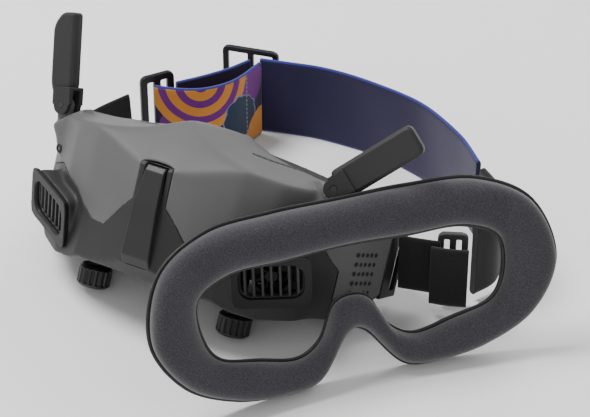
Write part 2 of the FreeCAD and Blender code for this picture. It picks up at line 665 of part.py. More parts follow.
sculpted("face_frame", make_face_frame(), WORN)
TAPE_OUTER = [(0, 71.5), (30, 68.6), (54, 65.1), (69.7, 59.8), (77.2, 45.5), (72, 31.5), (56, 22.4),
              (40, 19.6), (28, 20.2), (18, 24), (9, 34.5), (0, 38)]
TAPE_INNER = [(0, 66), (30, 66), (53, 62.8), (66.6, 57.2), (73.2, 45), (68.5, 34), (54, 26.4),
              (40, 23.8), (30, 24.4), (21, 28.4), (11.5, 39.4), (0, 43)]
tape = arched_ring(TAPE_OUTER, TAPE_INNER, dim("frame_arch"), dim("frame_nose_plane") + 0.01,
                   dim("frame_nose_plane") + dim("tape_thick"))
sculpted("hook_tape", tape, WORN)
keep("proximity_window", box("proximity_window", ("8.96", "1.6", "4.16")),
     WORN.multiply(at(-4.48, 27.2, 54.02)))
frame_screws = [Part.makeCylinder(1.28, 5, Vec(sign * dim("frame_screw_side"), 23.9,
                                               dim("frame_screw_height")), Y)
                for _, sign in SIGNS]
sculpted("frame_screws", Part.makeCompound(frame_screws), WORN)

# ---- sockets and button under the housing -----------------------------------------------

def make_power_socket():
    body = rounded_block(9.36, 4.16, 7, 1.9)
    body.translate(Vec(0, 0, 7))
    hollow = rounded_block(8.0, 2.8, 5.6, 1.3)
    hollow.translate(Vec(0, 0, 5.6))
    return body.cut(hollow).fuse(Part.makeBox(6.4, 0.8, 4.8, Vec(-3.2, -0.4, 1.0)))


sculpted("power_socket", make_power_socket(), WORN.multiply(at(-50, 16.5, 13.4)))
jack = Part.makeCylinder(3.6, 15.4, Vec(0, 0, 2)).cut(Part.makeCylinder(1.8, 15, Vec(0, 0, 2)))
sculpted("audio_socket", jack, WORN.multiply(at(50, 20, 16.2)))
keep("card_slot", box("card_slot", ("11.96", "1.56", "12")), WORN.multiply(at(-35.98, 20.22, 14.2)))
button_body, button_sketch = sketch_body("link_button", "XY_Plane")
circle(button_sketch, "2.5")
pad(button_body, button_sketch, "4")
keep("link_button", button_body, WORN.multiply(at(62, 22, 14.6)))

# ---- face pad, taken off and leaning beside the goggles ---------------------------------

PAD = FLOOR.multiply(at(dim("pad_x"), dim("pad_y"), dim("pad_z"), Z, dim("pad_yaw"))).multiply(
    at(0, 0, 0, X, -dim("pad_lean")))


foam = arched_ring(PAD_OUTER, PAD_INNER, dim("pad_arch"), dim("foam_front"), dim("foam_back"), -1)
sculpted("face_pad_foam", largest(foam), PAD)
backing = arched_ring(PAD_OUTER, PAD_INNER, dim("pad_arch"), dim("foam_back"),
                      dim("foam_back") + dim("backing_thick"), -1)
sculpted("face_pad_backing", largest(backing), PAD)

# ---- head strap, standing on its edge ----------------------------------------------------

def band(route, thick, low, tall):
    """A strip standing on edge: a smooth route in plan, offset both ways and extruded up."""
    centre = Part.BSplineCurve()
    centre.interpolate([Vec(x, y, 0) for x, y in route])
    first, last = centre.FirstParameter, centre.LastParameter
    steps = 4 * len(route)
    sides = ([], [])
    for index in range(steps + 1):
        u = first + (last - first) * index / steps
        point, ahead = centre.value(u), centre.tangent(u)[0]
        across = Vec(-ahead.y, ahead.x, 0) * (thick / 2)
        sides[0].append(point + across)
        sides[1].append(point - across)
    edges = []
    for points in sides:
        curve = Part.BSplineCurve()
        curve.interpolate(points)
        edges.append(curve.toShape())
    ends = [Part.makeLine(sides[0][end], sides[1][end]) for end in (0, -1)]
    wire = Part.Wire(Part.__sortEdges__(edges + ends))
    face = Part.Face(wire)
    face.translate(Vec(0, 0, low))
    return face.extrude(Vec(0, 0, tall))


def slider(wide, tall, bar):
    """A three-bar buckle standing on end: a rounded plate with two tall slots."""
    thick = dim("buckle_thick")
    plate = Part.makeBox(wide, thick, tall, Vec(-wide / 2, -thick / 2, -tall / 2))
    edges = [edge for edge in plate.Edges if abs(edge.tangentAt(edge.FirstParameter).y) > 0.9]
    plate = plate.makeFillet(3, edges)
    slot = (wide - 3 * bar) / 2
    for sign in (-1, 1):
        middle = sign * (bar + slot) / 2
        plate = plate.cut(Part.makeBox(slot, 9, tall - 2 * bar,
                                       Vec(middle - slot / 2, -4.5, -tall / 2 + bar)))
    return plate


def upright(x, y, z, turn):
    """Where a buckle stands in the strap: its middle and its turn seen from above."""
    return FLOOR.multiply(at(x, y, z, Z, turn))


ROUTE_BAND = [(-36, 146.3), (-26, 149), (-10, 152.6), (15, 153), (39, 149), (54, 143.5), (74, 131), (91, 115)]
ROUTE_PRINT = [(-69, 99.5), (-60, 102), (-48, 108.5), (-40, 120), (-37.5, 142.5)]
ROUTE_INNER = [(-62, 107), (-54, 119), (-47, 131), (-43, 142)]
ROUTE_REAR_PAD = [(94, 113), (104, 105), (112, 94), (115, 82), (111, 70)]
band_low = 0.2 + dim("floor_level")

sculpted("strap_band", band(ROUTE_BAND, dim("band_thick"), band_low, dim("band_tall")), FLOOR)
sculpted("strap_printed_layer", band(ROUTE_PRINT, dim("band_thick"), band_low,
                                     dim("band_tall")), FLOOR)
sculpted("strap_inner_layer", band(ROUTE_INNER, dim("band_thick"), band_low,
                                   dim("band_tall")), FLOOR)
sculpted("strap_slider", slider(28, 47, 2.8), upright(-45.5, 147.6, 23.2, 12))
sculpted("strap_rear_pad", band(ROUTE_REAR_PAD, 3.2, 3, 35), FLOOR)
sculpted("webbing_left", band([(-84.8, 57), (-83.4, 73), (-77.6, 91)], 2, 9, 27), FLOOR)
sculpted("strap_hook_left", slider(17, 43, 3.4), upright(-70.2, 103, 22, 58))
sculpted("webbing_right", band([(85, 54), (91, 55.5), (97, 57)], 2, 7, 27), FLOOR)
sculpted("slider_right", slider(13, 34, 2.8), upright(104.5, 62, 20.5, 25))
sculpted("webbing_tail_right", band([(101, 52), (107, 53.5), (113, 56)], 3, 6, 29), FLOOR)

for side_name, sign in SIGNS:
    plate = Part.makeBox(2.2, 16, 30, Vec(-1.1, 0, -15))
    plate = plate.cut(Part.makeBox(9, 5, 24, Vec(-4.5, 8.5, -12)))
    anchor = WORN.multiply(at(sign * 81.5, 29.05, 41))
    sculpted("strap_anchor_" + side_name, plate, anchor)

# ---- checks and files -------------------------------------------------------------------

doc.recompute()
for item in doc.Objects:
    if "Invalid" in item.State or "Error" in item.State:
        raise SystemExit("failed object: %s %s" % (item.Name, item.State))
os.makedirs("parts", exist_ok=True)
whole = FreeCAD.BoundBox()
for label, item in nodes.items():
    shape = item.Shape
    if shape.isNull() or not shape.isValid():
        raise SystemExit("bad shape: " + label)
    whole.add(shape.BoundBox)
    shape.exportStep("parts/%s.step" % label)
    low = shape.BoundBox
    print("%-26s %9.1f mm3 %d  x %.1f..%.1f  y %.1f..%.1f  z %.1f..%.1f" % (
        label, shape.Volume, len(shape.Solids), low.XMin, low.XMax, low.YMin, low.YMax,
        low.ZMin, low.ZMax))
print("whole box", whole)
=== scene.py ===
import bpy
import bmesh
import json
import math
import numpy as np
from mathutils import Matrix, Vector
from mathutils.bvhtree import BVHTree


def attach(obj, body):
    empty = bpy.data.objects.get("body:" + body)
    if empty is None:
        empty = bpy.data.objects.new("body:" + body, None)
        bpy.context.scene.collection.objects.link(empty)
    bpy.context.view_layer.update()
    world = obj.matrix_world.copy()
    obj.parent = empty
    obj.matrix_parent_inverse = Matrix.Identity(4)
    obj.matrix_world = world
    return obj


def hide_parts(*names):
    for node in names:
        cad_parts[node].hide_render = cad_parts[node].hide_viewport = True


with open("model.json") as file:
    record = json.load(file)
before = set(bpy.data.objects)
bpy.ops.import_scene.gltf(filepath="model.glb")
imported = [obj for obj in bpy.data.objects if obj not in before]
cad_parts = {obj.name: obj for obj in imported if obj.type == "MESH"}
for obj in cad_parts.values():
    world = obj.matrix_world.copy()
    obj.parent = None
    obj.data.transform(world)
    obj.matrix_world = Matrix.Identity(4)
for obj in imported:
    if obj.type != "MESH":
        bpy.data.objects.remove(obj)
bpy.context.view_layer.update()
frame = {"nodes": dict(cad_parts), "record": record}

# ---- places ------------------------------------------------------------------------------
# "Worn" millimetres: x sideways, y from front to face, z up, as the goggles are worn.
# "Floor" millimetres: the same middle, but level with the floor.  The row frame is metres.

NOSE_UP = math.radians(26.57)
SHIFT = (-34.5, -42.1, 0.7)
MM = 0.001


def floor_point(x, y, z):
    return Vector(((x + SHIFT[0]) * MM, (y + SHIFT[1]) * MM, (z + SHIFT[2]) * MM))


WORN = Matrix.Translation(floor_point(0, 0, 0)) @ Matrix.Rotation(-NOSE_UP, 4, "X") @ Matrix.Scale(MM, 4)
FLOOR = Matrix.Translation(floor_point(0, 0, 0)) @ Matrix.Scale(MM, 4)

# Places on the casing's +x side in worn millimetres; both() adds the mirrored ones.
SIDES = (("left", -1), ("right", 1))
HINGE = (66.5, -5.2, 72.5)
SHELL_SCREW = (65.6, -4.95, 53)
SIDE_PANEL = (77.6, 16, 37)
SLOT_START, SLOT_END = (23.3, 0.4), (48.4, 17.1)
POD_MIDDLE = (55.6, -21.8, 30)
CASING_REAR = 28.4


def both(spot):
    return [(sign * spot[0], spot[1], spot[2]) for _, sign in SIDES]


# ---- camera, floor and light -------------------------------------------------------------

SWING, RISE = math.radians(29.71), math.radians(33.96)
EYE = floor_point(403.7, -596.8, 535.1)
right = Vector((math.cos(SWING), math.sin(SWING), 0))
upward = Vector((-math.sin(SWING) * math.sin(RISE), math.cos(SWING) * math.sin(RISE), math.cos(RISE)))
backward = right.cross(upward)
camera_data = bpy.data.cameras.new("camera")
camera = bpy.data.objects.new("camera", camera_data)
camera.matrix_world = Matrix((
    (right.x, upward.x, backward.x, EYE.x), (right.y, upward.y, backward.y, EYE.y),
    (right.z, upward.z, backward.z, EYE.z), (0, 0, 0, 1)))
camera_data.sensor_width = 36
camera_data.lens = 127.07
camera_data.clip_start = 0.05
bpy.context.scene.collection.objects.link(camera)
bpy.context.scene.camera = camera


def area_light(name, place, aim, size, power, colour=(1, 1, 1)):
    data = bpy.data.lights.new(name, "AREA")
    data.shape = "DISK"
    data.size = size
    data.energy = power
    data.color = colour
    lamp = bpy.data.objects.new(name, data)
    lamp.location = place
    lamp.rotation_euler = (Vector(aim) - Vector(place)).to_track_quat("-Z", "Y").to_euler()
    bpy.context.scene.collection.objects.link(lamp)
    return lamp


area_light("key", (-0.6, -0.1, 1.1), (0, 0, 0.03), 0.55, 17)
area_light("fill", (0.5, -1.3, 0.7), (0, 0, 0.03), 1.2, 4)
area_light("back", (0.1, 1.1, 0.9), (0, 0, 0.03), 0.9, 9)
world = bpy.data.worlds.new("studio")
bpy.context.scene.world = world
world.use_nodes = True
world.node_tree.nodes["Background"].inputs[0].default_value = (1, 1, 1, 1)
world.node_tree.nodes["Background"].inputs[1].default_value = 0.55

# ---- materials ---------------------------------------------------------------------------

class Look:
    """A small helper that lays out one procedural material."""

    def __init__(self, name, rough=0.5, sheen=0.0, metal=0.0, specular=0.5):
        self.material = bpy.data.materials.new(name)
        self.material.use_nodes = True
        self.tree = self.material.node_tree
        self.shader = self.tree.nodes["Principled BSDF"]
        self.shader.inputs["Roughness"].default_value = rough
        self.shader.inputs["Metallic"].default_value = metal
        self.shader.inputs["Sheen Weight"].default_value = sheen
        self.shader.inputs["Specular IOR Level"].default_value = specular
        self.place = self.node("ShaderNodeTexCoord").outputs["Object"]

    def node(self, kind, **settings):
        made = self.tree.nodes.new(kind)
        for key, value in settings.items():
            setattr(made, key, value)
        return made

    def link(self, out, into):
        self.tree.links.new(out, into)

    def mapped(self, scale, turn=(0, 0, 0), source=None):
        made = self.node("ShaderNodeMapping")
        made.inputs["Scale"].default_value = scale if isinstance(scale, tuple) else (scale,) * 3
        made.inputs["Rotation"].default_value = turn
        self.link(source or self.place, made.inputs["Vector"])
        return made.outputs["Vector"]

    def noise(self, scale, detail=3.0, rough=0.5, vector=None):
        made = self.node("ShaderNodeTexNoise")
        made.inputs["Scale"].default_value = scale
        made.inputs["Detail"].default_value = detail
        made.inputs["Roughness"].default_value = rough
        self.link(vector or self.place, made.inputs["Vector"])
        return made.outputs["Fac"]

    def wave(self, scale, axis="X", vector=None, distortion=0.0, profile="SIN"):
        made = self.node("ShaderNodeTexWave", bands_direction=axis, wave_profile=profile)
        made.inputs["Scale"].default_value = scale
        made.inputs["Distortion"].default_value = distortion
        self.link(vector or self.place, made.inputs["Vector"])
        return made.outputs["Fac"]

    def ramp(self, fac, stops, blend="LINEAR"):
        made = self.node("ShaderNodeValToRGB")
        made.color_ramp.interpolation = blend
        while len(made.color_ramp.elements) < len(stops):
            made.color_ramp.elements.new(0.5)
        for element, (spot, colour) in zip(made.color_ramp.elements, stops):
            element.position = spot
            element.color = (*colour, 1) if len(colour) == 3 else colour
        self.link(fac, made.inputs["Fac"])
        return made.outputs["Color"]

    def math(self, kind, one, two=0.5, third=None):
        made = self.node("ShaderNodeMath", operation=kind)
        for index, value in enumerate((one, two) if third is None else (one, two, third)):
            if isinstance(value, (int, float)):
                made.inputs[index].default_value = value
            else:
                self.link(value, made.inputs[index])
        return made.outputs[0]

    def mix(self, fac, one, two):
        made = self.node("ShaderNodeMix", data_type="RGBA")
        for socket, value in ((made.inputs[0], fac), (made.inputs[6], one), (made.inputs[7], two)):
            if isinstance(value, tuple):
                socket.default_value = (*value, 1) if len(value) == 3 else value
            elif isinstance(value, (int, float)):
                socket.default_value = value
            else:
                self.link(value, socket)
        return made.outputs[2]

    def colour(self, out):
        self.link(out, self.shader.inputs["Base Color"])

    def roughness(self, fac, low, high):
        spread = self.node("ShaderNodeMapRange")
        spread.inputs["To Min"].default_value = low
        spread.inputs["To Max"].default_value = high
        self.link(fac, spread.inputs["Value"])
        self.link(spread.outputs["Result"], self.shader.inputs["Roughness"])

    def bump(self, height, strength, distance):
        made = self.node("ShaderNodeBump")
        made.inputs["Strength"].default_value = strength
        made.inputs["Distance"].default_value = distance
        self.link(height, made.inputs["Height"])
        self.link(made.outputs["Normal"], self.shader.inputs["Normal"])


def plastic(name, colour, rough, grain=2600.0, strength=0.18, spread=0.06, shine=0.28):
    """Moulded plastic: spark texture, slight colour cloud and rubbed, lighter edges."""
    look = Look(name, rough=rough, specular=shine)
    cloud = look.noise(40, 4)
    low = tuple(c * (1 - spread) for c in colour)
    high = tuple(min(1, c * (1 + spread)) for c in colour)
    base = look.ramp(cloud, [(0.3, low), (0.7, high)])
    wear = look.node("ShaderNodeNewGeometry").outputs["Pointiness"]
    edge = look.ramp(wear, [(0.52, (0, 0, 0)), (0.62, (1, 1, 1))])
    look.colour(look.mix(look.math("MULTIPLY", edge, 0.25), base,
                         tuple(min(1, c * 1.5 + 0.02) for c in colour)))
    speck = look.noise(grain, 2, 0.6)
    look.roughness(speck, rough - 0.06, rough + 0.08)
    look.bump(speck, strength, 0.00012)
    return look.material


def metal(name, colour, rough):
    look = Look(name, rough=rough, metal=1.0)
    streak = look.noise(900, 3, 0.6, look.mapped((1, 1, 14)))
    look.colour(look.ramp(streak, [(0.3, tuple(c * 0.8 for c in colour)), (0.7, colour)]))
    look.roughness(streak, rough - 0.05, rough + 0.12)
    look.bump(streak, 0.08, 0.0001)
    return look.material


SHELL = plastic("shell_grey", (0.105, 0.105, 0.106), 0.52)
HOUSING = plastic("housing_dark", (0.026, 0.026, 0.0265), 0.5)
STRIP = plastic("strip_dark", (0.026, 0.026, 0.027), 0.42)
BLACK = plastic("black_plastic", (0.008, 0.008, 0.0085), 0.5)
KNOB = plastic("knob_black", (0.007, 0.007, 0.0075), 0.4, shine=0.45)
ANTENNA = plastic("antenna_dark", (0.024, 0.024, 0.025), 0.5)
BUCKLE = plastic("buckle_black", (0.014, 0.013, 0.018), 0.4)
BUCKLE_GREY = plastic("buckle_grey", (0.05, 0.05, 0.052), 0.36)
FRAME = plastic("frame_black", (0.02, 0.02, 0.021), 0.5)
STEEL = metal("turned_steel", (0.42, 0.42, 0.43), 0.3)
ALUMINIUM = metal("milled_aluminium", (0.75, 0.75, 0.77), 0.35)
BRASS = metal("plated_brass", (0.8, 0.62, 0.3), 0.25)
BOARD = plastic("board_green", (0.01, 0.09, 0.045), 0.3)
SLAT = plastic("slat_grey", (0.035, 0.035, 0.037), 0.42)


def paint(name, material):
    """Gives a CAD node a better material."""
    thing = frame["nodes"][name]
    for slot in thing.material_slots:
        slot.material = material
    if not thing.material_slots:
        thing.data.materials.append(material)


for material, nodes in (
        (STEEL, ("guide_rods", "shell_screws", "frame_screws", "power_socket")),
        (ALUMINIUM, ("heat_sink",)), (BRASS, ("audio_socket",)), (BOARD, ("main_board",)),
        (BLACK, ("optics_chassis", "card_slot", "link_button"))):
    for node_name in nodes:
        paint(node_name, material)
for side, _ in SIDES:
    paint("antenna_pin_" + side, ANTENNA)
    for stem in ("fan_rotor_", "fan_housing_", "knob_shaft_", "top_vent_mesh_"):
        paint(stem + side, BLACK)

# ---- rounded copies of moulded pieces ----------------------------------------------------

RIDES = {node: body for body, members in frame["record"]["behaviour"]["bodies"].items()
         for node in members}


def shown(name, mesh, material, body, *nodes):
    """Puts a finished mesh in the scene: its finish, the body it rides and what it stands for."""
    thing = bpy.data.objects.new(name, mesh)
    bpy.context.scene.collection.objects.link(thing)
    mesh.materials.clear()
    mesh.materials.append(material)
    for face in mesh.polygons:
        face.use_smooth = len(face.vertices) < 5
    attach(thing, body)
    for node in nodes:
        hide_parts(node)
    return thing


def grid_mesh(name, rings, around, matrix=Matrix.Identity(4), close_ends=False, uv=None):
    """A mesh from rows of points; `around` closes each row on itself."""
    rows, columns = len(rings), len(rings[0])
    verts = [matrix @ Vector(p) for row in rings for p in row]
    faces = []
    for i in range(rows - 1):
        for j in range(columns if around else columns - 1):
            k = (j + 1) % columns
            faces.append((i * columns + j, i * columns + k, (i + 1) * columns + k,
                          (i + 1) * columns + j))
    if close_ends:
        faces.append(tuple(range(columns - 1, -1, -1)))
        faces.append(tuple((rows - 1) * columns + j for j in range(columns)))
    mesh = bpy.data.meshes.new(name)
    mesh.from_pydata([tuple(v) for v in verts], [], faces)
    if uv is not None:
        layer = mesh.uv_layers.new(name="UVMap")
        flat = [p for row in uv for p in row]
        for loop in mesh.loops:
            layer.data[loop.index].uv = flat[loop.vertex_index]
    made = bmesh.new()
    made.from_mesh(mesh)
    bmesh.ops.recalc_face_normals(made, faces=made.faces)
    made.to_mesh(mesh)
    made.free()
    return mesh


def baked(thing):
    """The mesh of an object with its modifiers applied."""
    depsgraph = bpy.context.evaluated_depsgraph_get()
    mesh = bpy.data.meshes.new_from_object(thing.evaluated_get(depsgraph))
    bpy.data.objects.remove(thing)
    return mesh


def soften(node, material, voxel, rounds, keep=None, pull=0.5, warp=None):
    """A rounded copy of one CAD piece: rebuilt at an even grain, then relaxed.

    keep gives, for a worn point, how free it is to move from 0 (fixed) to 1."""
    scratch = bpy.data.objects.new("scratch", frame["nodes"][node].data.copy())
    bpy.context.scene.collection.objects.link(scratch)
    weld = scratch.modifiers.new("weld", "WELD")
    weld.merge_threshold = 0.00001
    remesh = scratch.modifiers.new("remesh", "REMESH")
    remesh.mode = "VOXEL"
    remesh.voxel_size = voxel * MM
    mesh = baked(scratch)
    spots = np.empty(len(mesh.vertices) * 3)
    mesh.vertices.foreach_get("co", spots)
    back = np.array(WORN.inverted())
    worn = spots.reshape(-1, 3) @ back[:3, :3].T + back[:3, 3]
    if warp:
        ahead = np.array(WORN)
        moved = warp(worn) @ ahead[:3, :3].T + ahead[:3, 3]
        mesh.vertices.foreach_set("co", moved.ravel())
    scratch = bpy.data.objects.new("scratch", mesh)
    bpy.context.scene.collection.objects.link(scratch)
    relax = scratch.modifiers.new("relax", "SMOOTH")
    relax.iterations = rounds
    relax.factor = pull
    if keep:
        group = scratch.vertex_groups.new(name="free")
        share = np.round(np.clip(keep(worn), 0, 1) * 10).astype(int)
        for level in range(1, 11):
            group.add([int(i) for i in np.nonzero(share == level)[0]], level / 10, "REPLACE")
        relax.vertex_group = "free"
    return shown(node + "_soft", baked(scratch), material, RIDES[node], node)


def gap(worn, spots, near, far):
    """0 within `near` mm of any of the spots, 1 beyond `far` mm."""
    out = np.ones(len(worn))
    for spot in spots:
        away = np.linalg.norm(worn - np.array(spot, float), axis=1)
        out = np.minimum(out, (away - near) / (far - near))
    return np.clip(out, 0, 1)


def along_slot(worn, sign, near, far):
    """0 within `near` mm of a top vent's middle line, 1 beyond `far` mm."""
    start = np.array((SLOT_START[0] * sign, SLOT_START[1]))
    end = np.array((SLOT_END[0] * sign, SLOT_END[1]))
    line = end - start
    t = np.clip((worn[:, :2] - start) @ line / (line @ line), 0, 1)
    away = np.linalg.norm(worn[:, :2] - start - t[:, None] * line, axis=1)
    return np.clip((away - near) / (far - near), 0, 1)


def parting_gap(worn, near, far):
    """Keeps the V-shaped parting edge crisp."""
    line = [(7.7, 66), (7.7, 49), (13, 43.5), (21, 33.5), (28, 33.5), (34, 37.5), (41, 43), (57, 49.5),
            (67, 46), (72, 38), (72, 10)]
    side = np.abs(worn[:, 0])
    best = np.full(len(worn), 1e9)
    for (x0, z0), (x1, z1) in zip(line, line[1:]):
        run = np.array((x1 - x0, z1 - z0))
        spot = np.stack([side - x0, worn[:, 2] - z0], 1)
        t = np.clip(spot @ run / (run @ run), 0, 1)
        best = np.minimum(best, np.linalg.norm(spot - t[:, None] * run, axis=1))
    return np.clip((best - near) / (far - near), 0, 1)


DIMPLE_FRONT, DIMPLE_LOW, DIMPLE_PITCH, DIMPLE_RISE = 11, 29, 2.6, 4.1
PANEL_X, PANEL_Y, PANEL_SLOPE = 76.4, 12, 0.318
DIMPLES = [(PANEL_X + (DIMPLE_FRONT + DIMPLE_PITCH * column - PANEL_Y) * PANEL_SLOPE,
            DIMPLE_FRONT + DIMPLE_PITCH * column, DIMPLE_LOW + DIMPLE_RISE * line)
           for column in range(5) for line in range(5)]


def rear_hold(worn):
    """Nearly fixed at the casing's rear edge and free 3 mm ahead of it."""
    return np.clip((CASING_REAR - worn[:, 1]) / 3, 0.03, 1)


def shell_freedom(worn):
    """Holds the hinges, screws, top vents, parting edge, dimpled panel and rear edge."""
    free = gap(worn, both(HINGE), 6.5, 13)
    free = np.minimum(free, gap(worn, both(SHELL_SCREW), 3.0, 6))
    for _, sign in SIDES:
        free = np.minimum(free, along_slot(worn, sign, 1.8, 5))
    free = np.minimum(free, parting_gap(worn, 0.8, 5))
    free = np.minimum(free, gap(worn, [SIDE_PANEL], 12, 16))
    return np.minimum(free, rear_hold(worn))


def housing_freedom(worn):
    """Holds the parting edge, the strip's seat and the rear edge."""
    free = parting_gap(worn, 0.8, 4)
    front = np.clip((np.abs(worn[:, 0]) - 8.5) / 3, 0.05, 1)
    return np.minimum(np.minimum(free, front), rear_hold(worn))


def pod_swell(worn, along=1.16, up=1.14, depth=11.0, mouth=0.0):
    """Stretches a fan pod and its trim about their own centre, fading out behind the face."""
    out = worn.copy()
    for _, sign in SIDES:
        long = np.array((0.861, 0.44 * sign, 0.254 * sign))
        long /= np.linalg.norm(long)
        facing = np.array((0.502 * sign, -0.815, -0.288))
        facing /= np.linalg.norm(facing)
        tall = np.cross(facing, long)
        away = worn - np.array((POD_MIDDLE[0] * sign, *POD_MIDDLE[1:]))
        a, b, c = away @ long, away @ tall, away @ facing
        fade = np.clip(1 + c / depth, 0, 1) * np.clip((26 - np.hypot(a, b)) / 6, 0, 1)
        rim = np.maximum(np.abs(a) / 14.5, np.abs(b) / 10.5)
        more = mouth * np.clip((1 - rim) / 0.28, 0, 1)
        out += (a * (along - 1 + more) * fade)[:, None] * long
        out += (b * (up - 1 + more) * fade)[:, None] * tall
    return out


def trim_swell(worn):
    """The pod's stretch, with a wider mouth, for its bezel and grille."""
    return pod_swell(worn, mouth=0.14)


def widen_low(worn):
    """Widens the centre strip towards its foot."""
    out = worn.copy()
    out[:, 0] *= 1 + 0.3 * np.clip((60 - worn[:, 2]) / 36, 0, 1)
    return out


def lower_top(worn):
    """Brings the strap buckle's top down to the strap's edge."""
    floor_high = -worn[:, 1] * math.sin(NOSE_UP) + worn[:, 2] * math.cos(NOSE_UP)
    fall = 0.1 * (floor_high + 0.7)
    out = worn.copy()
    out[:, 1] += fall * math.sin(NOSE_UP)
    out[:, 2] -= fall * math.cos(NOSE_UP)
    return out


shell = soften("top_shell", SHELL, 0.55, 160, keep=shell_freedom)
soften("lower_housing", HOUSING, 0.5, 60, keep=housing_freedom, warp=pod_swell)
soften("center_strip", STRIP, 0.35, 6, warp=widen_low)

for side, _ in SIDES:
    soften("vent_bezel_" + side, BLACK, 0.35, 6, warp=trim_swell)
    soften("vent_grille_" + side, SLAT, 0.25, 1, warp=trim_swell)
    soften("antenna_base_" + side, ANTENNA, 0.25, 5)
    soften("strap_anchor_" + side, BLACK, 0.3, 5)
    soften("focus_knob_" + side, KNOB, 0.25, 3)
soften("strap_slider", BUCKLE, 0.3, 6, warp=lower_top)
soften("slider_right", BUCKLE_GREY, 0.3, 6)
soften("strap_hook_left", BUCKLE, 0.3, 6)
soften("face_frame", FRAME, 0.5, 6)

spots = bmesh.new()
facing = Vector((0.953, -0.303, 0))
for spot in DIMPLES:
    turn = facing.to_track_quat("Z", "Y").to_matrix().to_4x4()
    bmesh.ops.create_cone(spots, cap_ends=True, segments=20, radius1=0.95, radius2=0.8, depth=0.12,
                          matrix=WORN @ Matrix.Translation(Vector(spot) + facing * 0.6) @ turn)
dimple_mesh = bpy.data.meshes.new("side_dimples")
spots.to_mesh(dimple_mesh)
spots.free()
shown("side_dimples", dimple_mesh, BLACK, "goggles")

# ---- vent strips and screws laid on the shell's surface ----------------------------------

skin = bmesh.new()
skin.from_mesh(shell.data)
surface = BVHTree.FromBMesh(skin)
skin.free()


def hit_worn(start, ahead):
    """Where a ray given in worn millimetres meets the shell, as a worn point, with its normal."""
    way = (WORN.to_3x3() @ Vector(ahead)).normalized()
    spot, normal, _, _ = surface.ray_cast(WORN @ Vector(start), way)
    return WORN.inverted() @ spot, (WORN.inverted().to_3x3() @ normal).normalized()


mesh_look = Look("vent_mesh", rough=0.6)
weave = mesh_look.wave(260, "DIAGONAL")
mesh_look.colour(mesh_look.ramp(weave, [(0.4, (0.003, 0.003, 0.003)), (0.7, (0.03, 0.03, 0.03))]))
mesh_look.bump(weave, 0.6, 0.0004)
VENT_STEPS, VENT_HALF, VENT_PROBE, ABOVE_CASING = 40, 1.35, 1.5, 95
RING_START = (63.5, -40, 53.8)
RING_SIDES = 32
RING_PROFILE = ((0.9, -0.3), (0.95, 0.2), (1.35, 0.35), (1.75, 0.3), (2.0, 0.05), (2.05, -0.4))


def vent_strip(side, sign):
    """A slightly sunk mesh strip that follows the shell along one top vent."""
    start = Vector((SLOT_START[0] * sign, SLOT_START[1], 0))
    end = Vector((SLOT_END[0] * sign, SLOT_END[1], 0))
    across = (end - start).cross(Vector((0, 0, 1))).normalized()
    rows = []
    for step in range(VENT_STEPS + 1):
        t = step / VENT_STEPS
        middle = start.lerp(end, t)
        half = VENT_HALF * min(1, 0.25 + 5 * min(t, 1 - t))
        low, high = (hit_worn(middle + across * k * VENT_PROBE + Vector((0, 0, ABOVE_CASING)),
                              (0, 0, -1))[0].z for k in (-1, 1))
        row = []
        for k in (-1, -0.85, -0.4, 0.4, 0.85, 1):
            sunk = 0.0 if abs(k) == 1 else (0.16 if abs(k) > 0.5 else 0.1)
            z = low + (high - low) * (k * half / VENT_PROBE + 1) / 2 + sunk
            row.append(tuple(middle + across * k * half + Vector((0, 0, z - middle.z))))
        rows.append(row)
    name = "vent_strip_" + side
    shown(name, grid_mesh(name, rows, False, WORN), mesh_look.material, "goggles")


def screw_ring(side, sign):
    """The raised ring round one shell screw, square to the shell."""
    spot, normal = hit_worn((RING_START[0] * sign, *RING_START[1:]), (0, 1, 0))
    turn = normal.to_track_quat("Z", "Y").to_matrix().to_4x4()
    angles = [a * math.tau / RING_SIDES for a in range(RING_SIDES)]
    rings = [[(radius * math.cos(a), radius * math.sin(a), height) for a in angles]
             for radius, height in RING_PROFILE]
    name = "screw_ring_" + side
    place = WORN @ Matrix.Translation(spot) @ turn
    shown(name, grid_mesh(name, rings, True, place, close_ends=True), BLACK, "goggles")


for side, sign in SIDES:
    vent_strip(side, sign)
    screw_ring(side, sign)

# ---- outlines ----------------------------------------------------------------------------

def curve_through(points, count, closed=False):
    """Even samples of a smooth curve through the points (centripetal Catmull-Rom)."""
    points = [np.array(p, float) for p in points]
    if closed:
        ring = [points[-1]] + points + points[:2]
    else:
        ring = [2 * points[0] - points[1]] + points + [2 * points[-1] - points[-2]]
    fine = []
    for a, b, c, d in zip(ring, ring[1:], ring[2:], ring[3:]):
        knots = [0.0]
        for one, two in ((a, b), (b, c), (c, d)):
            knots.append(knots[-1] + max(np.linalg.norm(two - one), 1e-9) ** 0.5)
        for step in range(16):
            t = knots[1] + (knots[2] - knots[1]) * step / 16
            ab = a + (b - a) * (t - knots[0]) / (knots[1] - knots[0])
            bc = b + (c - b) * (t - knots[1]) / (knots[2] - knots[1])
            cd = c + (d - c) * (t - knots[2]) / (knots[3] - knots[2])
            abc = ab + (bc - ab) * (t - knots[0]) / (knots[2] - knots[0])
            bcd = bc + (cd - bc) * (t - knots[1]) / (knots[3] - knots[1])
            fine.append(abc + (bcd - abc) * (t - knots[1]) / (knots[2] - knots[1]))
    if not closed:
        fine.append(points[-1])
        lengths = np.r_[0, np.cumsum(np.linalg.norm(np.diff(fine, axis=0), axis=1))]
        wanted = np.linspace(0, lengths[-1], count)
        fine = np.array(fine)
        return np.stack([np.interp(wanted, lengths, fine[:, i]) for i in range(fine.shape[1])], 1)
    return np.array(fine)


# ---- face pad ----------------------------------------------------------------------------

